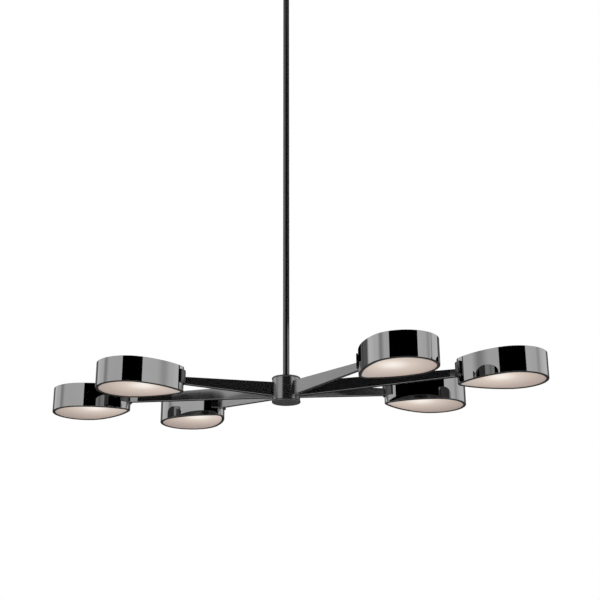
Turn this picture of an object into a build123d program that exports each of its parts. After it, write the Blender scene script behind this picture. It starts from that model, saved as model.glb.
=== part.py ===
from build123d import *
from math import acos, cos, radians, sin, sqrt
import os

os.makedirs("parts", exist_ok=True)

# A six-light chandelier that hangs from one long stem. The origin is the centre of the ceiling
# plate, +Z is up, and the two long arms lie along X. All lengths are in millimetres.

# Fits: play between parts that turn, between screwed parts, and beside parts that are set in place
running_play = 0.05
thread_play = 0.05
set_play = 0.3

# Ceiling plate: a strap that screws to an outlet box, with a slot at each end
strap_length = 116.0
strap_width = 22.0
strap_thickness = 2.5
box_screw_spacing = 88.9
box_slot_length = 16.0
box_slot_width = 4.6

# Hollow threaded nipple through the strap, and the two nuts that lock it
nipple_radius = 4.9
nipple_bore = 3.4
nipple_rise = 9.0
nut_flats = 15.0
nut_height = 4.5

# Canopy: a spun dish, held up by two studs and two cap nuts
canopy_radius = 66.0
canopy_depth = 25.4
canopy_corner = 7.0
canopy_wall = 1.5
stud_radius = 2.0
stud_spacing = 60.0
stud_end = 6.0
cap_nut_radius = 4.6
cap_nut_height = 8.5
cap_nut_flat = 1.0

# Swivel below the canopy: a fork that turns on the nipple, and a tongue that tilts on a pin
knuckle_radius = 10.0
fork_neck = 15.0
fork_slot = 8.4
tongue_thickness = 8.0
tongue_end_radius = 8.0
knuckle_gap = 1.0
tongue_collar = 9.0
pin_radius = 2.5
pin_setback = 0.6

# Stem: two lengths of tube, one of 36 and one of 12 inches, joined by a hidden nipple
rod_radius = 7.95
rod_wall = 1.5
upper_rod_length = 914.4
lower_rod_length = 304.8
rod_edge = 0.6
spigot_length = 15.0
spigot_bore = 4.2

# Hub: a tube with windows for the arms, and a lid at each end that overhangs a little
hub_radius = 33.5
hub_wall = 3.0
hub_height = 61.0
lid_thickness = 4.0
lid_overhang = 1.0
lid_edge = 0.8
lid_spigot = 5.0

# Arms: hollow bars with a level top edge, tapering from the hub to the shade
arm_thickness = 12.0
arm_wall = 1.5
arm_root_radius = 26.0
arm_root_height = 34.0
arm_tip_height = 17.3
arm_drop = 12.9
arm_edge = 0.6

# Heads, counted anticlockwise from +X: the direction of each arm and how far out its tip is
long_reach = 411.5
short_reach = 247.6
spread = 30
half_turn = 180
heads = [
    (1, 0, long_reach),
    (2, spread, short_reach),
    (3, half_turn - spread, short_reach),
    (4, half_turn, long_reach),
    (5, half_turn + spread, short_reach),
    (6, -spread, short_reach),
]

# Shade: a polished band bent into a teardrop, with an inward lip round its lower edge
shade_length = 204.5
shade_end_radius = 78.0
shade_side_radius = 208.0
shade_tip_radius = 22.0
shade_height = 59.8
shade_wall = 1.6
shade_edge = 0.4
shade_drop = 36.5
lip_width = 5.0
lip_thickness = 2.0
lip_bend = 1.8

# Frosted plate on the lip, and the sheet that closes the top and carries the lamp
diffuser_thickness = 4.0
cover_thickness = 1.6
cover_recess = 3.0
tab_place = 58.0
tab_width = 26.0
tab_below_wire = 13.0

# Saddle: a bent plate round the tip of the shade, welded to the arm
saddle_thickness = 4.1
saddle_height = 32.0
saddle_wing = 9.0
saddle_edge = 0.8

# Screws from inside the shade into the saddle, one in each wing
screw_radius = 2.0
screw_place = 4.5
screw_depth = 2.6
screw_head_radius = 3.6
screw_head_height = 2.4

# Lampholder, lamp and wiring
holder_radius = 9.5
holder_flange = 11.0
holder_flange_length = 5.0
holder_length = 22.0
holder_slot_width = 12.6
holder_slot_height = 7.0
holder_slot_depth = 8.0
lamp_base_length = 12.0
lamp_radius = 7.2
lamp_length = 30.0
lamp_flat = 0.4
wire_radius = 2.2
wire_hole_radius = 3.6
block_apothem = 12.0

# Heights, worked down from the ceiling
canopy_floor = -canopy_depth
fork_top = canopy_floor - set_play
pin_height = fork_top - fork_neck - knuckle_gap - tongue_end_radius
collar_top = pin_height - knuckle_radius - knuckle_gap
stem_top = collar_top - tongue_collar
seam_height = stem_top - upper_rod_length
hub_top = seam_height - lower_rod_length
hub_bottom = hub_top - hub_height
arm_top = hub_top - arm_drop
arm_tip_bottom = arm_top - arm_tip_height
shade_bottom = arm_top - shade_drop
shade_top = shade_bottom + shade_height
cover_bottom = shade_top - cover_recess - cover_thickness
wire_height = arm_top - arm_tip_height / 2
block_top = hub_top - spigot_length
saddle_middle = arm_tip_bottom + saddle_height / 2
rod_bore = rod_radius - rod_wall
spigot_radius = rod_bore - thread_play


def level(angle, height):
    """Horizontal plane at a height, with its X axis along the arm at that angle."""
    out = (cos(radians(angle)), sin(radians(angle)), 0)
    return Plane(origin=(0, 0, height), x_dir=out, z_dir=(0, 0, 1))


def upright(angle):
    """Vertical plane through the stem along the arm at that angle: X outwards, Y up."""
    out = (cos(radians(angle)), sin(radians(angle)), 0)
    return Plane(origin=(0, 0, 0), x_dir=out, z_dir=(out[1], -out[0], 0))


def facing(angle, reach, height):
    """Plane that faces outwards along an arm, at a distance from the stem and a height."""
    out = Vector(cos(radians(angle)), sin(radians(angle)), 0)
    start = out * reach + Vector(0, 0, height)
    return Plane(origin=start, x_dir=(-out.Y, out.X, 0), z_dir=out)


def side_centre(reach):
    """Centre of the shade's left side arc, tangent inside to the tip and end circles."""
    tip_span = shade_side_radius - shade_tip_radius
    end_span = shade_side_radius - shade_end_radius
    apart = shade_length - shade_tip_radius - shade_end_radius
    along = (tip_span**2 - end_span**2 + apart**2) / (2 * apart)
    return Vector(reach + shade_tip_radius + along, -sqrt(tip_span**2 - along**2))


def teardrop(reach, growth):
    """Outline of the shade with its tip at that reach on the X axis, grown outwards all round."""
    tip = Vector(reach + shade_tip_radius, 0)
    end = Vector(reach + shade_length - shade_end_radius, 0)
    side = side_centre(reach)
    to_tip = (tip - side).normalized()
    to_end = (end - side).normalized()
    to_middle = (to_tip + to_end).normalized()
    radius = shade_side_radius + growth
    tip_join = side + to_tip * radius
    middle = side + to_middle * radius
    end_join = side + to_end * radius
    nose = Vector(reach - growth, 0)
    tail = Vector(reach + shade_length + growth, 0)
    with BuildSketch() as outline:
        with BuildLine():
            ThreePointArc((tip_join.X, -tip_join.Y), (nose.X, nose.Y), (tip_join.X, tip_join.Y))
            ThreePointArc((tip_join.X, tip_join.Y), (middle.X, middle.Y), (end_join.X, end_join.Y))
            ThreePointArc((end_join.X, end_join.Y), (tail.X, tail.Y), (end_join.X, -end_join.Y))
            ThreePointArc((end_join.X, -end_join.Y), (middle.X, -middle.Y), (tip_join.X, -tip_join.Y))
        make_face()
    return outline.sketch


def wing_ray(reach, along):
    """Centre of the side arc, and the direction from it to a place that far past the tip arc."""
    side = side_centre(reach)
    to_tip = (Vector(reach + shade_tip_radius, 0) - side).normalized()
    turn = acos(to_tip.X) - along / shade_side_radius
    return side, Vector(cos(turn), sin(turn))


def screw_places(angle, reach):
    """Places of the two saddle screws, on the inner face of the band and pointing outwards."""
    side, out = wing_ray(reach, screw_place)
    start = side + out * (shade_side_radius - shade_wall)
    frame = level(angle, saddle_middle).location
    places = []
    for hand in (1, -1):
        seat = Plane(
            origin=(start.X, hand * start.Y, 0), x_dir=(0, 0, 1), z_dir=(out.X, hand * out.Y, 0)
        )
        places.append(frame * seat.location)
    return places


# Ceiling plate
with BuildPart() as ceiling_plate:
    with BuildSketch(Plane.XY.offset(-strap_thickness)):
        SlotOverall(strap_length, strap_width)
        Circle(nipple_radius + thread_play, mode=Mode.SUBTRACT)
        with GridLocations(box_screw_spacing, 0, 2, 1):
            SlotOverall(box_slot_length, box_slot_width, mode=Mode.SUBTRACT)
        with GridLocations(stud_spacing, 0, 2, 1):
            Circle(stud_radius + thread_play, mode=Mode.SUBTRACT)
    extrude(amount=strap_thickness)
ceiling_plate.part.label = "ceiling_plate"
export_step(ceiling_plate.part, "parts/ceiling_plate.step")

# Canopy
with BuildPart() as canopy:
    with BuildSketch(Plane.XZ):
        with BuildLine():
            Polyline(
                (0, canopy_floor),
                (canopy_radius - canopy_corner, canopy_floor),
            )
            RadiusArc(
                (canopy_radius - canopy_corner, canopy_floor),
                (canopy_radius, canopy_floor + canopy_corner),
                -canopy_corner,
            )
            Polyline(
                (canopy_radius, canopy_floor + canopy_corner),
                (canopy_radius, 0),
                (canopy_radius - canopy_wall, 0),
                (canopy_radius - canopy_wall, canopy_floor + canopy_corner),
            )
            RadiusArc(
                (canopy_radius - canopy_wall, canopy_floor + canopy_corner),
                (canopy_radius - canopy_corner, canopy_floor + canopy_wall),
                canopy_corner - canopy_wall,
            )
            Polyline(
                (canopy_radius - canopy_corner, canopy_floor + canopy_wall),
                (0, canopy_floor + canopy_wall),
                (0, canopy_floor),
            )
        make_face()
    revolve(axis=Axis.Z)
    with Locations((0, 0, canopy_floor)):
        Hole(nipple_radius + set_play)
        with GridLocations(stud_spacing, 0, 2, 1):
            Hole(stud_radius + set_play)
canopy.part.label = "canopy"
export_step(canopy.part, "parts/canopy.step")

# Studs that hold the canopy up to the ceiling plate
stud_length = canopy_depth + stud_end
with BuildPart() as canopy_studs:
    with BuildSketch(Plane.XY.offset(-stud_length)):
        with GridLocations(stud_spacing, 0, 2, 1):
            Circle(stud_radius)
    extrude(amount=stud_length)
canopy_studs.part.label = "canopy_studs"
export_step(canopy_studs.part, "parts/canopy_studs.step")

# Domed cap nuts under the canopy
with BuildPart() as cap_nuts:
    with BuildSketch(Plane.XY.offset(canopy_floor)):
        with GridLocations(stud_spacing, 0, 2, 1):
            Circle(cap_nut_radius)
    extrude(amount=-cap_nut_height)
    fillet(cap_nuts.edges().group_by(Axis.Z)[0], cap_nut_radius - cap_nut_flat)
    with BuildSketch(Plane.XY.offset(canopy_floor)):
        with GridLocations(stud_spacing, 0, 2, 1):
            Circle(stud_radius + thread_play)
    extrude(amount=-stud_end, mode=Mode.SUBTRACT)
cap_nuts.part.label = "cap_nuts"
export_step(cap_nuts.part, "parts/cap_nuts.step")

# Nipple that carries the weight from the ceiling plate to the fork
nipple_end = fork_top - fork_neck + knuckle_gap
with BuildPart() as ceiling_nipple:
    with BuildSketch(Plane.XY.offset(nipple_end)):
        Circle(nipple_radius)
        Circle(nipple_bore, mode=Mode.SUBTRACT)
    extrude(amount=nipple_rise - nipple_end)
ceiling_nipple.part.label = "ceiling_nipple"
export_step(ceiling_nipple.part, "parts/ceiling_nipple.step")

# Lock nuts above and below the ceiling plate
with BuildPart() as lock_nuts:
    with BuildSketch(Plane.XY, Plane.XY.offset(-strap_thickness - nut_height)):
        RegularPolygon(nut_flats / 2, 6, major_radius=False)
        Circle(nipple_radius + thread_play, mode=Mode.SUBTRACT)
    extrude(amount=nut_height)
lock_nuts.part.label = "lock_nuts"
export_step(lock_nuts.part, "parts/lock_nuts.step")

# Fork of the swivel, which turns on the nipple
with BuildPart() as swivel_fork:
    with BuildSketch(Plane.XZ):
        with Locations((0, (fork_top + pin_height) / 2)):
            Rectangle(2 * knuckle_radius, fork_top - pin_height)
        with Locations((0, pin_height)):
            Circle(knuckle_radius)
    extrude(amount=knuckle_radius, both=True)
    with Locations((0, 0, fork_top)):
        Cylinder(
            knuckle_radius,
            2 * (fork_top - pin_height + knuckle_radius),
            mode=Mode.INTERSECT,
        )
    with BuildSketch(Plane.XZ):
        with Locations((0, fork_top - fork_neck)):
            Rectangle(
                2 * knuckle_radius,
                2 * knuckle_radius + fork_neck,
                align=(Align.CENTER, Align.MAX),
            )
    extrude(amount=fork_slot / 2, both=True, mode=Mode.SUBTRACT)
    with BuildSketch(Plane.XY.offset(fork_top)):
        Circle(nipple_radius + running_play)
    extrude(amount=-fork_neck, mode=Mode.SUBTRACT)
    with BuildSketch(Plane.XZ):
        with Locations((0, pin_height)):
            Circle(pin_radius + thread_play)
    extrude(amount=knuckle_radius, both=True, mode=Mode.SUBTRACT)
swivel_fork.part.label = "swivel_fork"
export_step(swivel_fork.part, "parts/swivel_fork.step")

# Pin across the fork
with BuildPart() as swivel_pin:
    with BuildSketch(Plane.XZ):
        with Locations((0, pin_height)):
            Circle(pin_radius)
    extrude(amount=knuckle_radius - pin_setback, both=True)
swivel_pin.part.label = "swivel_pin"
export_step(swivel_pin.part, "parts/swivel_pin.step")

# Tongue of the swivel: a flat eye, a round collar, and a spigot inside the stem
with BuildPart() as swivel_tongue:
    with BuildSketch(Plane.XZ):
        with Locations((0, pin_height)):
            Circle(tongue_end_radius)
        with Locations((0, pin_height)):
            Rectangle(
                2 * tongue_end_radius,
                pin_height - collar_top,
                align=(Align.CENTER, Align.MAX),
            )
        with Locations((0, pin_height)):
            Circle(pin_radius + running_play, mode=Mode.SUBTRACT)
    extrude(amount=tongue_thickness / 2, both=True)
    with BuildSketch(Plane.XY.offset(stem_top)):
        Circle(knuckle_radius)
    extrude(amount=tongue_collar)
    with BuildSketch(Plane.XY.offset(stem_top)):
        Circle(spigot_radius)
    extrude(amount=-spigot_length)
    with BuildSketch(Plane.XY.offset(stem_top - spigot_length)):
        Circle(spigot_bore)
    extrude(amount=spigot_length + tongue_collar / 2, mode=Mode.SUBTRACT)
swivel_tongue.part.label = "swivel_tongue"
export_step(swivel_tongue.part, "parts/swivel_tongue.step")

# The two tubes of the stem, each with a small chamfer at its ends that shows as a seam
rods = {
    "upper_rod": (seam_height, upper_rod_length),
    "lower_rod": (hub_top, lower_rod_length),
}
for rod_name, (rod_bottom, rod_length) in rods.items():
    with BuildPart() as rod:
        with BuildSketch(Plane.XY.offset(rod_bottom)):
            Circle(rod_radius)
        extrude(amount=rod_length)
        chamfer(rod.edges().filter_by(GeomType.CIRCLE), rod_edge)
        with BuildSketch(Plane.XY.offset(rod_bottom)):
            Circle(rod_bore)
        extrude(amount=rod_length, mode=Mode.SUBTRACT)
    rod.part.label = rod_name
    export_step(rod.part, f"parts/{rod_name}.step")

# Threaded nipples inside the stem, at the seam and at the hub
with BuildPart() as rod_nipples:
    with BuildSketch(
        Plane.XY.offset(seam_height - spigot_length), Plane.XY.offset(hub_top - spigot_length)
    ):
        Circle(spigot_radius)
        Circle(spigot_bore, mode=Mode.SUBTRACT)
    extrude(amount=2 * spigot_length)
rod_nipples.part.label = "rod_nipples"
export_step(rod_nipples.part, "parts/rod_nipples.step")

# Lids of the hub: the top one is drilled for the nipple
lid_radius = hub_radius + lid_overhang
lid_inner = hub_radius - hub_wall - thread_play
with BuildPart() as hub_top_lid:
    with BuildSketch(Plane.XY.offset(hub_top - lid_thickness)):
        Circle(lid_radius)
    extrude(amount=lid_thickness)
    chamfer(hub_top_lid.edges().filter_by(GeomType.CIRCLE), lid_edge)
    with BuildSketch(Plane.XY.offset(hub_top - lid_thickness)):
        Circle(lid_inner)
        Circle(lid_inner - hub_wall, mode=Mode.SUBTRACT)
    extrude(amount=-lid_spigot)
    with BuildSketch(Plane.XY.offset(hub_top)):
        Circle(spigot_radius + thread_play)
    extrude(amount=-lid_thickness, mode=Mode.SUBTRACT)
hub_top_lid.part.label = "hub_top_lid"
export_step(hub_top_lid.part, "parts/hub_top_lid.step")

with BuildPart() as hub_bottom_lid:
    with BuildSketch(Plane.XY.offset(hub_bottom)):
        Circle(lid_radius)
    extrude(amount=lid_thickness)
    chamfer(hub_bottom_lid.edges().filter_by(GeomType.CIRCLE), lid_edge)
    with BuildSketch(Plane.XY.offset(hub_bottom + lid_thickness)):
        Circle(lid_inner)
        Circle(lid_inner - hub_wall, mode=Mode.SUBTRACT)
    extrude(amount=lid_spigot)
hub_bottom_lid.part.label = "hub_bottom_lid"
export_step(hub_bottom_lid.part, "parts/hub_bottom_lid.step")


def arm_side(reach, inset):
    """Side view of an arm, a trapezium with a level top, pulled in all along by the inset."""
    with BuildSketch() as outline:
        with BuildLine():
            Polyline(
                (arm_root_radius, arm_top - inset),
                (reach, arm_top - inset),
                (reach, arm_tip_bottom + inset),
                (arm_root_radius, arm_top - arm_root_height + inset),
                close=True,
            )
        make_face()
    return outline.sketch


# Hub body, with a window that each arm fits
with BuildPart() as hub_body:
    with BuildSketch(Plane.XY.offset(hub_bottom + lid_thickness)):
        Circle(hub_radius)
        Circle(hub_radius - hub_wall, mode=Mode.SUBTRACT)
    extrude(amount=hub_height - 2 * lid_thickness)
    for number, angle, reach in heads:
        with BuildSketch(upright(angle)):
            add(arm_side(reach, 0))
        extrude(amount=arm_thickness / 2, both=True, mode=Mode.SUBTRACT)
hub_body.part.label = "hub_body"
export_step(hub_body.part, "parts/hub_body.step")

# Block inside the hub where the six lamp wires meet the supply wire
with BuildPart() as terminal_block:
    with BuildSketch(Plane.XY.offset(block_top)):
        RegularPolygon(block_apothem, 12, major_radius=False, rotation=15)
    extrude(amount=2 * (wire_height - block_top))
terminal_block.part.label = "terminal_block"
export_step(terminal_block.part, "parts/terminal_block.step")

# Wires: one to each lampholder through its arm, and the supply wire up the stem
with BuildPart() as wiring:
    for number, angle, reach in heads:
        with BuildSketch(facing(angle, block_apothem, wire_height)):
            Circle(wire_radius)
        extrude(amount=reach + tab_place + cover_thickness - block_apothem)
    with BuildSketch(Plane.XY.offset(block_top)):
        Circle(wire_radius)
    extrude(amount=stem_top - block_top)
wiring.part.label = "wiring"
export_step(wiring.part, "parts/wiring.step")

# The six heads: arm, saddle, shade, diffuser, cover, lampholder and lamp
saddle_growth = set_play + saddle_thickness
for number, angle, reach in heads:
    screws = screw_places(angle, reach)
    wire_start = facing(angle, 0, wire_height)
    out = wire_start.z_dir

    # Arm: a folded bar, hollow for the wire, notched where it meets the saddle
    with BuildPart() as arm:
        with BuildSketch(upright(angle)):
            add(arm_side(reach, 0))
        extrude(amount=arm_thickness / 2, both=True)
        long_edges = arm.edges().sort_by(SortBy.LENGTH)[-4:]
        chamfer(long_edges, arm_edge)
        with BuildSketch(upright(angle)):
            add(arm_side(reach, arm_wall))
        extrude(amount=arm_thickness / 2 - arm_wall, both=True, mode=Mode.SUBTRACT)
        with BuildSketch(level(angle, arm_top)):
            add(teardrop(reach, saddle_growth + set_play))
        extrude(amount=-arm_root_height, mode=Mode.SUBTRACT)
    arm.part.label = f"arm_{number}"
    export_step(arm.part, f"parts/arm_{number}.step")

    # Saddle: bent round the tip of the shade
    side, ray = wing_ray(reach, saddle_wing)
    wing_inner = side + ray * (shade_side_radius - saddle_growth)
    wing_outer = side + ray * (shade_side_radius + 2 * saddle_growth)
    with BuildPart() as saddle:
        with BuildSketch(level(angle, arm_tip_bottom)):
            with BuildLine():
                Polyline(
                    (wing_inner.X, wing_inner.Y),
                    (wing_outer.X, wing_outer.Y),
                    (reach - 2 * saddle_growth, wing_outer.Y),
                    (reach - 2 * saddle_growth, -wing_outer.Y),
                    (wing_outer.X, -wing_outer.Y),
                    (wing_inner.X, -wing_inner.Y),
                    close=True,
                )
            make_face()
            add(teardrop(reach, saddle_growth), mode=Mode.INTERSECT)
            add(teardrop(reach, set_play), mode=Mode.SUBTRACT)
        extrude(amount=saddle_height)
        chamfer(saddle.faces().filter_by(Axis.Z).edges(), saddle_edge)
        with Locations(wire_start):
            Cylinder(wire_hole_radius, 2 * reach, mode=Mode.SUBTRACT)
        with Locations(*screws):
            Cylinder(
                screw_radius + thread_play,
                shade_wall + set_play + screw_depth,
                align=(Align.CENTER, Align.CENTER, Align.MIN),
                mode=Mode.SUBTRACT,
            )
    saddle.part.label = f"saddle_{number}"
    export_step(saddle.part, f"parts/saddle_{number}.step")

    # Shade: the polished band with its lip, drilled for the wire and the screws
    with BuildPart() as shade:
        with BuildSketch(level(angle, shade_bottom)):
            add(teardrop(reach, 0))
        extrude(amount=shade_height)
        chamfer(shade.faces().sort_by(Axis.Z)[-1].edges(), shade_edge)
        fillet(shade.faces().sort_by(Axis.Z)[0].edges(), lip_bend)
        with BuildSketch(level(angle, shade_bottom + lip_thickness)):
            add(teardrop(reach, -shade_wall))
        extrude(amount=shade_height, mode=Mode.SUBTRACT)
        with BuildSketch(level(angle, shade_bottom)):
            add(teardrop(reach, -lip_width))
        extrude(amount=lip_thickness, mode=Mode.SUBTRACT)
        with Locations(facing(angle, reach, wire_height)):
            Cylinder(wire_hole_radius, 2 * shade_tip_radius, mode=Mode.SUBTRACT)
        with Locations(*screws):
            Cylinder(screw_radius + set_play, 4 * shade_wall, mode=Mode.SUBTRACT)
    shade.part.label = f"shade_{number}"
    export_step(shade.part, f"parts/shade_{number}.step")

    # Diffuser: a frosted plate that lies on the lip
    with BuildPart() as diffuser:
        with BuildSketch(level(angle, shade_bottom + lip_thickness)):
            add(teardrop(reach, -shade_wall - set_play))
        extrude(amount=diffuser_thickness)
    diffuser.part.label = f"diffuser_{number}"
    export_step(diffuser.part, f"parts/diffuser_{number}.step")

    # Cover: closes the top, with a tab bent down to carry the lampholder
    with BuildPart() as cover:
        with BuildSketch(level(angle, cover_bottom)):
            add(teardrop(reach, -shade_wall - set_play))
        extrude(amount=cover_thickness)
        with BuildSketch(facing(angle, reach + tab_place, wire_height)):
            with Locations((0, -tab_below_wire)):
                Rectangle(
                    tab_width,
                    cover_bottom - wire_height + tab_below_wire,
                    align=(Align.CENTER, Align.MIN),
                )
            Circle(wire_hole_radius, mode=Mode.SUBTRACT)
        extrude(amount=cover_thickness)
    cover.part.label = f"cover_{number}"
    export_step(cover.part, f"parts/cover_{number}.step")

    # Lampholder: a ceramic body on the tab, with a slot in its face
    holder_start = reach + tab_place + cover_thickness
    holder_front = holder_start + holder_length
    with BuildPart() as lampholder:
        with BuildSketch(facing(angle, holder_start, wire_height)):
            Circle(holder_flange)
        extrude(amount=holder_flange_length)
        with BuildSketch(facing(angle, holder_start, wire_height)):
            Circle(holder_radius)
        extrude(amount=holder_length)
        with BuildSketch(facing(angle, holder_front, wire_height)):
            Rectangle(holder_slot_width, holder_slot_height)
        extrude(amount=-holder_slot_depth, mode=Mode.SUBTRACT)
    lampholder.part.label = f"lampholder_{number}"
    export_step(lampholder.part, f"parts/lampholder_{number}.step")

    # Lamp: a capsule on a flat pinched base that plugs into the slot
    base_start = holder_front - holder_slot_depth
    bulb_start = base_start + lamp_base_length
    with BuildPart() as lamp:
        with BuildSketch(facing(angle, base_start, wire_height)):
            Rectangle(holder_slot_width - 2 * set_play, holder_slot_height - 2 * set_play)
        extrude(amount=lamp_base_length)
        with BuildSketch(facing(angle, bulb_start, wire_height)):
            Circle(lamp_radius)
        extrude(amount=lamp_length)
        fillet(lamp.faces().sort_by(Axis(wire_start.origin, out))[-1].edges(), lamp_radius - lamp_flat)
    lamp.part.label = f"lamp_{number}"
    export_step(lamp.part, f"parts/lamp_{number}.step")

# Saddle screws, with their heads inside the shades
with BuildPart() as saddle_screws:
    for number, angle, reach in heads:
        with Locations(*screw_places(angle, reach)):
            Cylinder(
                screw_radius,
                shade_wall + set_play + screw_depth,
                align=(Align.CENTER, Align.CENTER, Align.MIN),
            )
            with Locations((0, 0, -set_play / 2)):
                Cylinder(
                    screw_head_radius,
                    screw_head_height,
                    align=(Align.CENTER, Align.CENTER, Align.MAX),
                )
                Cylinder(
                    screw_radius,
                    set_play,
                    align=(Align.CENTER, Align.CENTER, Align.MIN),
                )
saddle_screws.part.label = "saddle_screws"
export_step(saddle_screws.part, "parts/saddle_screws.step")
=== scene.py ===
from math import atan2, cos, pi, radians, sin, sqrt

import bmesh
import bpy
from mathutils import Matrix, Vector


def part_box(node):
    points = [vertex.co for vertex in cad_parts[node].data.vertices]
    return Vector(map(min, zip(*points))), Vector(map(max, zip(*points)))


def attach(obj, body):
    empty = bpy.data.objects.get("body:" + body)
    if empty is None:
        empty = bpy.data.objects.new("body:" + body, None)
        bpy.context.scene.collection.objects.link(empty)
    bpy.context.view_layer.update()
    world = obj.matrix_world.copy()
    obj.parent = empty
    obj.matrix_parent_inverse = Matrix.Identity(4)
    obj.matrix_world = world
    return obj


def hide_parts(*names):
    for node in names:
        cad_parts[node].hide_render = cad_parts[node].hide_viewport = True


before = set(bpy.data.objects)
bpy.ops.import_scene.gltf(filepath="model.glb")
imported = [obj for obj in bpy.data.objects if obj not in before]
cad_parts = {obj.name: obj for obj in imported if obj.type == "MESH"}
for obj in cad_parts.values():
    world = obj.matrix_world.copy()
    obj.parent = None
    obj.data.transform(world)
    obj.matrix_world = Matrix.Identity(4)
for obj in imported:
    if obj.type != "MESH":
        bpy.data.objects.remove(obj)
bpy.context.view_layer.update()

# Ceiling plate, studs, nipple and lock nuts: stamped and turned steel with a zinc finish.
# The plate screws to the outlet box, and the nipple through it carries the whole weight.
# The nipples inside the stem, the swivel's pin and the saddle screws have the same finish.
zinc_dark = (0.44, 0.45, 0.45, 1)
zinc_light = (0.62, 0.63, 0.61, 1)
zinc_spangle = 0.004
zinc_rough = (0.28, 0.42)
grain_detail = 3.0
grain_low = 0.3
grain_high = 0.7
facet_gap = 1e-5
crease_angle = radians(30)


def surface(name, metallic=0.0):
    """A new material, with its node tree and its shader."""
    material = bpy.data.materials.new(name)
    material.use_nodes = True
    shader = material.node_tree.nodes["Principled BSDF"]
    shader.inputs["Metallic"].default_value = metallic
    return material, material.node_tree, shader


def grain(tree, size, stretch=(1, 1, 1), turn=0.0):
    """Cloudy pattern with marks of that size, drawn out along the axes of a frame turned about Z."""
    place = tree.nodes.new("ShaderNodeTexCoord")
    mapping = tree.nodes.new("ShaderNodeMapping")
    mapping.vector_type = "TEXTURE"
    mapping.inputs["Rotation"].default_value = (0, 0, turn)
    mapping.inputs["Scale"].default_value = [size * part for part in stretch]
    noise = tree.nodes.new("ShaderNodeTexNoise")
    noise.inputs["Scale"].default_value = 1.0
    noise.inputs["Detail"].default_value = grain_detail
    tree.links.new(place.outputs["Object"], mapping.inputs["Vector"])
    tree.links.new(mapping.outputs["Vector"], noise.inputs["Vector"])
    return noise.outputs["Fac"]


def set_stops(ramp, stops):
    """Gives a colour ramp its stops, each with a position and a colour."""
    while len(ramp.elements) < len(stops):
        ramp.elements.new(0.5)
    for element, (position, colour) in zip(ramp.elements, stops):
        element.position = position
        element.color = colour


def tint(tree, pattern, shader, dark, light):
    """Colours the shader from dark to light by a pattern."""
    ramp = tree.nodes.new("ShaderNodeValToRGB")
    set_stops(ramp.color_ramp, ((grain_low, dark), (grain_high, light)))
    tree.links.new(pattern, ramp.inputs["Fac"])
    tree.links.new(ramp.outputs["Color"], shader.inputs["Base Color"])


def gloss(tree, pattern, shader, rough):
    """Lets the roughness waver between a low and a high value by a pattern."""
    low, high = rough
    spread = tree.nodes.new("ShaderNodeMapRange")
    spread.inputs["From Min"].default_value = grain_low
    spread.inputs["From Max"].default_value = grain_high
    spread.inputs["To Min"].default_value = low
    spread.inputs["To Max"].default_value = high
    tree.links.new(pattern, spread.inputs["Value"])
    tree.links.new(spread.outputs["Result"], shader.inputs["Roughness"])


def emboss(tree, pattern, shader, depth):
    """Raises the surface a little by a pattern."""
    bump = tree.nodes.new("ShaderNodeBump")
    bump.inputs["Distance"].default_value = depth
    tree.links.new(pattern, bump.inputs["Height"])
    tree.links.new(bump.outputs["Normal"], shader.inputs["Normal"])


def soft_shading(sharpest):
    """Modifier nodes that join a piece's loose facets and shade across edges flatter than an angle."""
    tree = bpy.data.node_groups.new("soft_shading", "GeometryNodeTree")
    tree.interface.new_socket("Geometry", in_out="INPUT", socket_type="NodeSocketGeometry")
    tree.interface.new_socket("Geometry", in_out="OUTPUT", socket_type="NodeSocketGeometry")
    start = tree.nodes.new("NodeGroupInput")
    join = tree.nodes.new("GeometryNodeMergeByDistance")
    join.inputs["Distance"].default_value = facet_gap
    bend = tree.nodes.new("GeometryNodeInputMeshEdgeAngle")
    flat = tree.nodes.new("FunctionNodeCompare")
    flat.operation = "LESS_THAN"
    flat.inputs["B"].default_value = sharpest
    faces = tree.nodes.new("GeometryNodeSetShadeSmooth")
    edges = tree.nodes.new("GeometryNodeSetShadeSmooth")
    edges.domain = "EDGE"
    end = tree.nodes.new("NodeGroupOutput")
    tree.links.new(start.outputs["Geometry"], join.inputs["Geometry"])
    tree.links.new(join.outputs["Geometry"], faces.inputs["Geometry"])
    tree.links.new(faces.outputs["Geometry"], edges.inputs["Geometry"])
    tree.links.new(bend.outputs["Unsigned Angle"], flat.inputs["A"])
    tree.links.new(flat.outputs["Result"], edges.inputs["Shade Smooth"])
    tree.links.new(edges.outputs["Geometry"], end.inputs["Geometry"])
    return tree


turned_faces = soft_shading(crease_angle)


def dress(node, material):
    """Gives a piece its finish, with smooth shading on curved faces and even shading on flat ones."""
    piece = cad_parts[node]
    piece.data.materials.clear()
    piece.data.materials.append(material)
    piece.modifiers.new("soft_shading", "NODES").node_group = turned_faces
    piece.modifiers.new("flat_faces", "WEIGHTED_NORMAL").keep_sharp = True


zinc, tree, shader = surface("zinc_plate", metallic=1.0)
spangle = grain(tree, zinc_spangle)
tint(tree, spangle, shader, zinc_dark, zinc_light)
gloss(tree, spangle, shader, zinc_rough)
for node in ("ceiling_plate", "canopy_studs", "ceiling_nipple", "lock_nuts"):
    dress(node, zinc)
for node in ("swivel_pin", "rod_nipples", "saddle_screws"):
    dress(node, zinc)

# Canopy, cap nuts and swivel: spun and turned steel, plated black and left satin.
# The canopy hides the outlet box, its two cap nuts hold it up on the studs, and below it the
# fork and tongue let the stem hang straight.
satin_spread = 0.07
satin_metal = 0.97
satin_grit = 0.0006
satin_grit_depth = 0.000006


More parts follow.
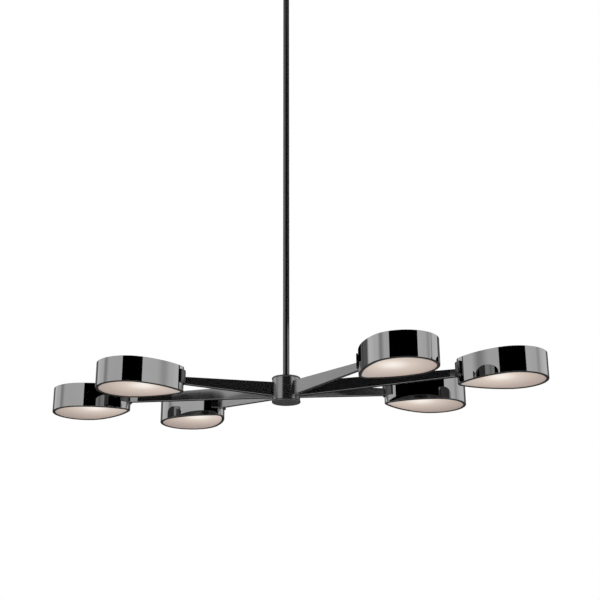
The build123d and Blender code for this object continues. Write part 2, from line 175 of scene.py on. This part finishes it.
def satin_black(name, tone_and_shade, rough, size, stretch=(1, 1, 1), turn=0.0):
    """Satin black plated metal, grained along its length; its tone, set per piece to how light it
    looks, holds painted light and shade.
    """
    material, tree, shader = surface(name, metallic=satin_metal)
    lines = grain(tree, size, stretch, turn)
    less = 1 - satin_spread
    more = 1 + satin_spread
    dark = tone_and_shade * less
    light = tone_and_shade * more
    tint(tree, lines, shader, (dark, dark, dark, 1), (light, light, light, 1))
    gloss(tree, lines, shader, (rough * less, rough * more))
    emboss(tree, grain(tree, satin_grit), shader, satin_grit_depth)
    return material


spun_black = satin_black("satin_black_spun", tone_and_shade=0.27, rough=0.24, size=0.004, stretch=(1, 1, 0.3))
for node in ("canopy", "cap_nuts", "swivel_fork", "swivel_tongue"):
    dress(node, spun_black)

# Stem: two lengths of drawn steel tube, plated satin black like the rest. They butt on a hidden
# nipple, and their eased ends show as one fine seam.
# the stem's tone is darker than the hub's, a painted shade
drawn_black = satin_black("satin_black_drawn", tone_and_shade=0.14, rough=0.15, size=0.002, stretch=(1, 1, 40))
for node in ("upper_rod", "lower_rod"):
    dress(node, drawn_black)

# Hub: a turned steel tube between two lids, plated satin black. The stem screws into its top lid,
# and the six arms are let into windows in its side.
turned_black = satin_black("satin_black_turned", tone_and_shade=0.31, rough=0.20, size=0.003, stretch=(6, 6, 0.2))
# the lids get a darker tone than the body, a painted shade
lid_black = satin_black("satin_black_lid", tone_and_shade=0.145, rough=0.36, size=0.003)
dress("hub_body", turned_black)
for node in ("hub_top_lid", "hub_bottom_lid"):
    dress(node, lid_black)

# Arms and saddles: hollow bars folded from sheet, tapering outwards, each welded to a bent plate
# that grips the tip of its shade. Ground along their length and plated satin black.
arm_turns = {1: 0, 2: 30, 3: 150, 4: 180, 5: 210, 6: 330}
# the arms' lighter tone is painted light, and the saddles' darker tone is painted shade
arm_finish = {"tone_and_shade": 0.33, "rough": 0.165, "size": 0.0015, "stretch": (40, 1, 1)}
saddle_finish = {"tone_and_shade": 0.10, "rough": 0.20, "size": 0.0015}
for number, degrees in arm_turns.items():
    turn = radians(degrees)
    dress(f"arm_{number}", satin_black(f"satin_black_arm_{number}", turn=turn, **arm_finish))
    dress(f"saddle_{number}", satin_black(f"satin_black_saddle_{number}", turn=turn, **saddle_finish))

# Shades: bands of sheet brass bent into teardrops, polished and plated black nickel like a dark
# mirror. A lip turned in at the lower edge carries the frosted plate; it is painted black underneath as
# painted shade, with a painted highlight along the top of its cut edge. Two screws from inside hold
# each band to its saddle.
band_low, band_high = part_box("shade_1")
band_length = band_high.x - band_low.x
long_reach = band_low.x
short_reach = 0.2476
long_arms = (1, 4)
reaches = {number: long_reach if number in long_arms else short_reach for number in arm_turns}
end_radius = band_high.y
side_radius = 0.208
tip_radius = 0.022
end_steps = 64
side_steps = 48
tip_steps = 16
band_wall = 0.0016
band_edge = 0.0004
band_edge_steps = 3
lip_width = 0.007
lip_thickness = 0.002
lip_bend = 0.0018
lip_bend_steps = 6
highlight_share = 0.3
facing_down = -0.3
hair = 1e-6
in_line = radians(1)
band_crease = radians(40)
nickel_dark = (0.405, 0.405, 0.405, 1)
nickel_light = (0.425, 0.425, 0.425, 1)
nickel_cloud = 0.05
nickel_haze = 0.01
nickel_rough = (0.02, 0.04)
# near black for the lip's underside and the lower part of its cut edge, a painted shade
lip_black = (0.012, 0.012, 0.012, 1)
lip_grey = (0.02, 0.02, 0.02, 1)
lip_shade_speck = 0.002
lip_rough = (0.4, 0.55)
lip_shine = 0.2
# pale metal along the top of the lip's cut edge, a painted highlight line
edge_dark = (0.86, 0.82, 0.78, 1)
edge_light = (0.92, 0.88, 0.84, 1)
edge_scratch = 0.003
edge_rough = (0.10, 0.16)

black_nickel, tree, shader = surface("black_nickel", metallic=1.0)
tint(tree, grain(tree, nickel_cloud), shader, nickel_dark, nickel_light)
gloss(tree, grain(tree, nickel_haze), shader, nickel_rough)

painted_lip_shade, tree, shader = surface("lip_painted_shade")
shade_mottle = grain(tree, lip_shade_speck)
tint(tree, shade_mottle, shader, lip_black, lip_grey)
gloss(tree, shade_mottle, shader, lip_rough)
shader.inputs["Specular IOR Level"].default_value = lip_shine

painted_highlight_edge, tree, shader = surface("lip_painted_highlight", metallic=1.0)
scratches = grain(tree, edge_scratch)
tint(tree, scratches, shader, edge_dark, edge_light)
gloss(tree, scratches, shader, edge_rough)

# the three arcs of half the outline, with the tip of the band at the origin
tip_centre = Vector((tip_radius, 0))
end_centre = Vector((band_length - end_radius, 0))
apart = end_centre.x - tip_centre.x
tip_span = side_radius - tip_radius
end_span = side_radius - end_radius
along = (tip_span**2 - end_span**2 + apart**2) / (2 * apart)
side_centre = tip_centre + Vector((along, -sqrt(tip_span**2 - along**2)))
to_end = end_centre - side_centre
to_tip = tip_centre - side_centre
end_turn = atan2(to_end.y, to_end.x)
tip_turn = atan2(to_tip.y, to_tip.x)
arcs = (
    (end_centre, end_turn, end_steps),
    (side_centre, tip_turn - end_turn, side_steps),
    (tip_centre, pi - tip_turn, tip_steps),
)

# section of the wall and lip at the round end, as one flat face with eased corners
inner_face = band_length - band_wall
lip_top = band_low.z + lip_thickness
# the height above which the cut edge shows the painted highlight
highlight_from = lip_top - highlight_share * lip_thickness
bpy.ops.object.select_all(action="DESELECT")
bpy.ops.mesh.primitive_plane_add(size=1, rotation=(pi / 2, 0, 0))
band = bpy.context.object
bpy.ops.object.transform_apply(location=False, rotation=True, scale=False)
bpy.ops.object.mode_set(mode="EDIT")
bpy.ops.transform.resize(value=(band_wall, 1, band_high.z - band_low.z))
bpy.ops.transform.translate(value=(band_length - band_wall / 2, 0, (band_high.z + band_low.z) / 2))
bpy.ops.mesh.bisect(plane_co=(0, 0, lip_top), plane_no=(0, 0, 1))
bpy.ops.mesh.select_all(action="DESELECT")
section = bmesh.from_edit_mesh(band.data)
for edge in section.edges:
    ends = [vert.co for vert in edge.verts]
    if all(abs(co.x - inner_face) < hair and co.z < lip_top + hair for co in ends):
        edge.select_set(True)
bmesh.update_edit_mesh(band.data)
bpy.ops.mesh.extrude_region_move(TRANSFORM_OT_translate={"value": (band_wall - lip_width, 0, 0)})
bpy.ops.mesh.select_all(action="SELECT")
bpy.ops.mesh.dissolve_limited(angle_limit=in_line)
bpy.ops.mesh.select_all(action="DESELECT")
section = bmesh.from_edit_mesh(band.data)
for vert in section.verts:
    is_bend = vert.co.x > band_length - hair and vert.co.z < band_low.z + hair
    vert.select_set(not is_bend)
bmesh.update_edit_mesh(band.data)
bpy.ops.mesh.bevel(offset=band_edge, segments=band_edge_steps, affect="VERTICES")
bpy.ops.mesh.select_all(action="DESELECT")
section = bmesh.from_edit_mesh(band.data)
for vert in section.verts:
    if vert.co.x > band_length - hair and vert.co.z < band_low.z + hair:
        vert.select_set(True)
bmesh.update_edit_mesh(band.data)
bpy.ops.mesh.bevel(offset=lip_bend, segments=lip_bend_steps, affect="VERTICES")

# the section's edge swept round the three arcs, then mirrored to the other side
bpy.ops.mesh.delete(type="ONLY_FACE")
bpy.ops.mesh.select_all(action="SELECT")
for centre, turn, steps in arcs:
    bpy.ops.mesh.spin(steps=steps, angle=-turn, center=(centre.x, centre.y, 0), axis=(0, 0, 1))
bpy.ops.object.mode_set(mode="OBJECT")
other_half = band.modifiers.new("other_half", "MIRROR")
other_half.use_axis = (False, True, False)
bpy.ops.object.modifier_apply(modifier=other_half.name)
bpy.ops.object.mode_set(mode="EDIT")
bpy.ops.mesh.select_all(action="SELECT")
bpy.ops.mesh.remove_doubles(threshold=facet_gap)
bpy.ops.mesh.normals_make_consistent(inside=False)
bpy.ops.mesh.bisect(plane_co=(0, 0, highlight_from), plane_no=(0, 0, 1))
bpy.ops.object.mode_set(mode="OBJECT")
bpy.ops.object.shade_smooth_by_angle(angle=band_crease)
flat_walls = band.modifiers.new("flat_walls", "WEIGHTED_NORMAL")
flat_walls.keep_sharp = True
bpy.ops.object.modifier_apply(modifier=flat_walls.name)

# the lip's underside and the lower part of its cut edge are painted black as painted shade, the top of
# the cut edge is a painted highlight, and the rest is polished
for finish in (black_nickel, painted_lip_shade, painted_highlight_edge):
    band.data.materials.append(finish)
polished_slot, painted_shade_slot, painted_highlight_slot = 0, 1, 2
middle = Vector((band_length / 2, 0, 0))
for face in band.data.polygons:
    outwards = (face.center - middle).xy.to_3d().normalized()
    if face.center.z > lip_top - hair:
        face.material_index = polished_slot
    elif face.normal.dot(outwards) < 0 and face.center.z > highlight_from:
        face.material_index = painted_highlight_slot
    elif face.normal.dot(outwards) < 0 or face.normal.z < facing_down:
        face.material_index = painted_shade_slot


def on_arm(number, out, height=0.0):
    """Point that far out from the stem along the line of an arm."""
    return Matrix.Rotation(radians(arm_turns[number]), 3, "Z") @ Vector((out, 0, height))


for number, degrees in arm_turns.items():
    bpy.ops.object.select_all(action="DESELECT")
    band.select_set(True)
    bpy.context.view_layer.objects.active = band
    bpy.ops.object.duplicate()
    piece = bpy.context.object
    piece.name = f"band_{number}"
    piece.rotation_euler.z = radians(degrees)
    piece.location = on_arm(number, reaches[number])
    bpy.ops.object.transform_apply(location=True, rotation=True, scale=True)
    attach(piece, "pendant")
    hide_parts(f"shade_{number}")
bpy.data.objects.remove(band)

# Frosted plates: opal glass cut to the teardrop, laid loose on the lip of each band. The lamp's light
# through them is painted on as a warm glow, brightest near the lamp, and the tip is painted a little
# paler.
plate_dark = (0.30, 0.285, 0.27, 1)
plate_light = (0.34, 0.325, 0.31, 1)
plate_frost = 0.0012
plate_rough = (0.45, 0.6)
# colours of the painted glow, from its middle out to its reach
painted_glow_stops = (
    (0.0, (0.70, 0.657, 0.615, 1)),
    (0.14, (0.63, 0.56, 0.50, 1)),
    (0.34, (0.442, 0.35, 0.287, 1)),
    (0.55, (0.34, 0.255, 0.207, 1)),
    (0.72, (0.26, 0.183, 0.145, 1)),
    (1.0, (0.16, 0.10, 0.08, 1)),
)
painted_glow_reach = 0.12
# painted light, which makes the tip of each plate paler
painted_tip_light = (0.04, 0.07, 0.085, 1)
tip_light_reach = 0.06

# the middle of the painted glow, a little in front of the lamp's hottest place, towards the view
hottest_share = 0.35
painted_glow_ahead = 0.038
view_turn = radians(17.37)
lamp_low, lamp_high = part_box("lamp_1")
hottest = lamp_low.x + hottest_share * (lamp_high.x - lamp_low.x) - long_reach
painted_glow_forward = painted_glow_ahead * Vector((sin(view_turn), -cos(view_turn), 0))


def frosted_plate_painted_glow(number):
    """Opal glass with a painted warm glow round the place where the lamp shines through, and a tip
    painted paler.
    """
    material, tree, shader = surface(f"frosted_plate_painted_glow_{number}")
    frost = grain(tree, plate_frost)
    tint(tree, frost, shader, plate_dark, plate_light)
    gloss(tree, frost, shader, plate_rough)
    place = tree.nodes.new("ShaderNodeTexCoord")
    centre = tree.nodes.new("ShaderNodeMapping")
    centre.vector_type = "TEXTURE"
    lamp = on_arm(number, reaches[number] + hottest, lip_top)
    centre.inputs["Location"].default_value = lamp + painted_glow_forward
    centre.inputs["Scale"].default_value = (painted_glow_reach, painted_glow_reach, painted_glow_reach)
    distance = tree.nodes.new("ShaderNodeVectorMath")
    distance.operation = "LENGTH"
    glow = tree.nodes.new("ShaderNodeValToRGB")
    set_stops(glow.color_ramp, painted_glow_stops)
    tree.links.new(place.outputs["Object"], centre.inputs["Vector"])
    tree.links.new(centre.outputs["Vector"], distance.inputs[0])
    tree.links.new(distance.outputs["Value"], glow.inputs["Fac"])
    from_tip = tree.nodes.new("ShaderNodeVectorMath")
    from_tip.operation = "DISTANCE"
    from_tip.inputs[1].default_value = on_arm(number, reaches[number], lip_top)
    nearness = tree.nodes.new("ShaderNodeMapRange")
    nearness.inputs["From Min"].default_value = tip_light_reach
    nearness.inputs["From Max"].default_value = 0.0
    paler = tree.nodes.new("ShaderNodeMix")
    paler.data_type = "RGBA"
    paler.blend_type = "ADD"
    # its colour sockets share their names with other sockets, so they go by number
    share, glowing, added = (paler.inputs[socket] for socket in (0, 6, 7))
    result = paler.outputs[2]
    added.default_value = painted_tip_light
    tree.links.new(place.outputs["Object"], from_tip.inputs[0])
    tree.links.new(from_tip.outputs["Value"], nearness.inputs["Value"])
    tree.links.new(nearness.outputs["Result"], share)
    tree.links.new(glow.outputs["Color"], glowing)
    tree.links.new(result, shader.inputs["Emission Color"])
    shader.inputs["Emission Strength"].default_value = 1.0
    return material


for number in arm_turns:
    dress(f"diffuser_{number}", frosted_plate_painted_glow(number))

# Covers: black sheet cut to the teardrop, which closes each shade a little below its top edge.
# A tab that goes down from it near the tip carries the lampholder.
sheet_black = satin_black("satin_black_sheet", tone_and_shade=0.27, rough=0.26, size=0.004)
for number in arm_turns:
    dress(f"cover_{number}", sheet_black)

# Lampholders and terminal block: pressed steatite, unglazed and a little speckled.
# Each holder stands on the tab of its cover, and the wires hold the block in the middle of the hub.
ceramic_dark = (0.74, 0.71, 0.64, 1)
ceramic_light = (0.84, 0.82, 0.76, 1)
ceramic_speck = 0.001
ceramic_rough = (0.35, 0.5)
ceramic, tree, shader = surface("ceramic")
speckle = grain(tree, ceramic_speck)
tint(tree, speckle, shader, ceramic_dark, ceramic_light)
gloss(tree, speckle, shader, ceramic_rough)
dress("terminal_block", ceramic)
for number in arm_turns:
    dress(f"lampholder_{number}", ceramic)

# Lamps: capsules of frosted quartz on a pinched base, lit. Each is plugged into its holder and lies
# level above the frosted plate.
quartz_dark = (0.80, 0.77, 0.70, 1)
quartz_light = (0.92, 0.90, 0.86, 1)
quartz_etch = 0.002
quartz_rough = (0.3, 0.45)
lamp_colour = (1.0, 0.86, 0.68, 1)
lamp_strength = 3.0
quartz, tree, shader = surface("lamp_glass")
etch = grain(tree, quartz_etch)
tint(tree, etch, shader, quartz_dark, quartz_light)
gloss(tree, etch, shader, quartz_rough)
shader.inputs["Emission Color"].default_value = lamp_colour
shader.inputs["Emission Strength"].default_value = lamp_strength
for number in arm_turns:
    dress(f"lamp_{number}", quartz)

# Wiring: stranded copper in a woven glass sleeve that stands the heat. One wire runs through each
# hollow arm to its lampholder and one up the stem, and they meet in the terminal block.
sleeve_dark = (0.55, 0.53, 0.48, 1)
sleeve_light = (0.74, 0.72, 0.67, 1)
sleeve_weave = 0.0008
sleeve_weave_depth = 0.0001
sleeve_rough = (0.6, 0.8)
sleeve, tree, shader = surface("wire_sleeve")
weave = grain(tree, sleeve_weave)
tint(tree, weave, shader, sleeve_dark, sleeve_light)
gloss(tree, weave, shader, sleeve_rough)
emboss(tree, weave, shader, sleeve_weave_depth)
dress("wiring", sleeve)

# Floor: plain, pale and matt, where the floor of a room with this ceiling would be.
# It fades into the backdrop towards its rim.
room_height = 2.44
floor_radius = 2.75
floor_sides = 96
floor_solid_share = 0.6
floor_dark = (0.78, 0.78, 0.78, 1)
floor_light = (0.82, 0.82, 0.82, 1)
floor_cloud = 0.4
floor_rough = 0.9
bpy.ops.object.select_all(action="DESELECT")
bpy.ops.mesh.primitive_circle_add(vertices=floor_sides, radius=floor_radius, fill_type="NGON")
floor = bpy.context.object
floor.name = "floor"
bpy.ops.object.mode_set(mode="EDIT")
bpy.ops.mesh.inset(thickness=floor_radius / 2)
bpy.ops.object.mode_set(mode="OBJECT")
floor.location.z = -room_height
bpy.ops.object.transform_apply(location=True, rotation=False, scale=False)
pale, tree, shader = surface("pale_floor")
tint(tree, grain(tree, floor_cloud), shader, floor_dark, floor_light)
shader.inputs["Roughness"].default_value = floor_rough
shader.inputs["Specular IOR Level"].default_value = 0.0
place = tree.nodes.new("ShaderNodeTexCoord")
flatten = tree.nodes.new("ShaderNodeVectorMath")
flatten.operation = "MULTIPLY"
flatten.inputs[1].default_value = (1, 1, 0)
distance = tree.nodes.new("ShaderNodeVectorMath")
distance.operation = "LENGTH"
fade = tree.nodes.new("ShaderNodeMapRange")
fade.interpolation_type = "SMOOTHSTEP"
fade.inputs["From Min"].default_value = floor_radius * floor_solid_share
fade.inputs["From Max"].default_value = floor_radius
fade.inputs["To Min"].default_value = 1.0
fade.inputs["To Max"].default_value = 0.0
tree.links.new(place.outputs["Object"], flatten.inputs[0])
tree.links.new(flatten.outputs["Vector"], distance.inputs[0])
tree.links.new(distance.outputs["Value"], fade.inputs["Value"])
tree.links.new(fade.outputs["Result"], shader.inputs["Alpha"])
floor.data.materials.append(pale)

# Black cards: felt on board, which only the metal mirrors. The large one hangs between the camera and
# the part and makes the dark stripe on the bands, and small ones close to the part shade the stem, the
# hub, two arms and two bands.
card_black = (0.0, 0.0, 0.0, 1)

# feet at the left and right, as x to the right and y away in the view, then the bottom and the top
cards = {
    "front_card": ((-0.66, -1.05), (1.50, -1.80), band_low.z - 0.10, 0.9),
    "stem_card": ((0.16, -0.16), (0.30, 0.10), band_low.z + 0.25, 0.0),
    "hub_card": ((0.134, -0.189), (0.162, -0.164), band_low.z + 0.040, band_low.z + 0.088),
    "arm_card": ((0.062, -0.035), (0.372, -0.1315), band_low.z + 0.006, band_low.z + 0.050),
    "shade_card": ((0.142, -0.060), (0.260, -0.097), band_low.z + 0.050, band_low.z + 0.090),
    "tip_card": ((-0.392, 0.003), (-0.306, 0.001), band_low.z + 0.034, band_low.z + 0.057),
    "far_card": ((-0.378, 0.103), (-0.290, 0.075), band_low.z + 0.006, band_low.z + 0.036),
}
to_part = Matrix.Rotation(view_turn, 3, "Z")
felt, tree, shader = surface("black_felt")
shader.inputs["Base Color"].default_value = card_black
shader.inputs["Roughness"].default_value = 1.0
shader.inputs["Specular IOR Level"].default_value = 0.0
for name, (left, right, bottom, top) in cards.items():
    bpy.ops.object.select_all(action="DESELECT")
    bpy.ops.mesh.primitive_plane_add(size=1)
    card = bpy.context.object
    card.name = name
    corners = [(left, bottom), (right, bottom), (left, top), (right, top)]
    for vert, ((across, away), height) in zip(card.data.vertices, corners):
        vert.co = to_part @ Vector((across, away, height))
    card.data.materials.append(felt)
    card.visible_camera = False
    card.visible_diffuse = False
    card.visible_transmission = False
    card.visible_shadow = False

# Light: a white studio, as the metal mirrors it: a softly darker streak at each side, a dark strip
# behind, a dim ceiling, and darker below the horizon, most of all behind. The camera sees it plain
# white, and matt surfaces get an even light from it, with one large soft lamp above on the left.
matt_level = 0.80
white_level = 1.0

# levels round about, by degrees from the camera's side round the left to straight away at 180
full_turn = 360
studio_levels = (
    (0, 0.80),
    (40, 0.78),
    (66, 0.79),
    (82, 0.44),
    (97, 0.86),
    (107, 0.86),
    (128, 0.95),
    (134, 0.15),
    (226, 0.12),
    (231, 0.90),
    (255, 0.96),
    (268, 0.85),
    (280, 0.60),
    (292, 0.82),
    (325, 0.88),
    (360, 0.86),
)

# stretches of the direction's height and depth over which the level changes, and what it comes to
horizon = (-0.18, 0.05)
behind = (0.55, 0.90)
below_levels = (0.60, 0.05)
ceiling = (0.40, 0.80)
ceiling_level = 0.05
studio = bpy.data.worlds.new("studio")
studio.use_nodes = True
studio.cycles.sampling_method = "NONE"
bpy.context.scene.world = studio
tree = studio.node_tree
tree.nodes.clear()
way = tree.nodes.new("ShaderNodeTexCoord")
view_frame = tree.nodes.new("ShaderNodeMapping")
view_frame.inputs["Rotation"].default_value = (0, 0, -view_turn)
parts = tree.nodes.new("ShaderNodeSeparateXYZ")
bearing = tree.nodes.new("ShaderNodeMath")
bearing.operation = "ARCTAN2"
turn_share = tree.nodes.new("ShaderNodeMapRange")
turn_share.inputs["From Min"].default_value = -pi
turn_share.inputs["From Max"].default_value = pi
round_about = tree.nodes.new("ShaderNodeValToRGB")
round_about.color_ramp.interpolation = "EASE"
stops = [(degrees / full_turn, (level, level, level, 1)) for degrees, level in studio_levels]
set_stops(round_about.color_ramp, stops)
tree.links.new(way.outputs["Generated"], view_frame.inputs["Vector"])
tree.links.new(view_frame.outputs["Vector"], parts.inputs["Vector"])
tree.links.new(parts.outputs["X"], bearing.inputs[0])
tree.links.new(parts.outputs["Y"], bearing.inputs[1])
tree.links.new(bearing.outputs["Value"], turn_share.inputs["Value"])
tree.links.new(turn_share.outputs["Result"], round_about.inputs["Fac"])


def ease(axis, stretch, start, end):
    """Node with a level that eases from start to end along a stretch of an axis of the direction."""
    node = tree.nodes.new("ShaderNodeMapRange")
    node.interpolation_type = "SMOOTHSTEP"
    low, high = stretch
    node.inputs["From Min"].default_value = low
    node.inputs["From Max"].default_value = high
    node.inputs["To Min"].default_value = start
    node.inputs["To Max"].default_value = end
    tree.links.new(parts.outputs[axis], node.inputs["Value"])
    return node


def combine(operation, first, second):
    """Result of a sum on two sockets."""
    node = tree.nodes.new("ShaderNodeMath")
    node.operation = operation
    tree.links.new(first, node.inputs[0])
    tree.links.new(second, node.inputs[1])
    return node.outputs["Value"]


def choose(share, without, with_share):
    """Goes from one level to the other by a share; each is a number or a socket."""
    node = tree.nodes.new("ShaderNodeMix")
    node.data_type = "FLOAT"
    tree.links.new(share, node.inputs["Factor"])
    for name, value in (("A", without), ("B", with_share)):
        if isinstance(value, float):
            node.inputs[name].default_value = value
        else:
            tree.links.new(value, node.inputs[name])
    return node.outputs["Result"]


from_below = ease("Z", horizon, 0.0, white_level)
from_behind = ease("Y", behind, *below_levels)
tree.links.new(from_behind.outputs["Result"], from_below.inputs["To Min"])
from_above = ease("Z", ceiling, white_level, ceiling_level)
rise = combine("MULTIPLY", from_below.outputs["Result"], from_above.outputs["Result"])
mirrored = combine("MULTIPLY", rise, round_about.outputs["Color"])
path = tree.nodes.new("ShaderNodeLightPath")
seen = combine("MAXIMUM", path.outputs["Is Camera Ray"], path.outputs["Is Transmission Ray"])
lit = choose(path.outputs["Is Glossy Ray"], matt_level, mirrored)
strength = choose(seen, lit, white_level)
light = tree.nodes.new("ShaderNodeBackground")
light.inputs["Color"].default_value = (1, 1, 1, 1)
tree.links.new(strength, light.inputs["Strength"])
end = tree.nodes.new("ShaderNodeOutputWorld")
tree.links.new(light.outputs["Background"], end.inputs["Surface"])

# the soft lamp, which the metal doesn't mirror
soft_lamp_size = 1.6
soft_lamp_power = 25.0
soft_lamp_place = Vector((-1.2, -1.0, 1.2))
soft_lamp_aim = Vector((0, 0, -1.3))
soft_lamp = bpy.data.objects.new("soft_lamp", bpy.data.lights.new("soft_lamp", "AREA"))
soft_lamp.data.shape = "DISK"
soft_lamp.data.size = soft_lamp_size
soft_lamp.data.energy = soft_lamp_power
soft_lamp.location = soft_lamp_place
soft_lamp.rotation_euler = (soft_lamp_aim - soft_lamp_place).to_track_quat("-Z", "Y").to_euler()
soft_lamp.visible_glossy = False
bpy.context.scene.collection.objects.link(soft_lamp)

# Camera: below the shades and about 2.5 m away, a little to the right of square on, looking up at
# the hub. The frame is shifted a little to the side, as the photo's is.
view_distance = 2.49765
view_below = 0.6238
view_pitch = radians(19.253)
view_sensor = 36
view_lens = 64.226
view_shift = 0.02302
camera = bpy.data.objects.new("camera", bpy.data.cameras.new("camera"))
camera.data.sensor_width = view_sensor
camera.data.lens = view_lens
camera.data.shift_x = view_shift
camera.location = to_part @ Vector((0, -view_distance, band_low.z - view_below))
camera.rotation_euler = (pi / 2 + view_pitch, 0, view_turn)
bpy.context.scene.collection.objects.link(camera)
bpy.context.scene.camera = camera
bpy.context.scene.view_settings.view_transform = "Standard"
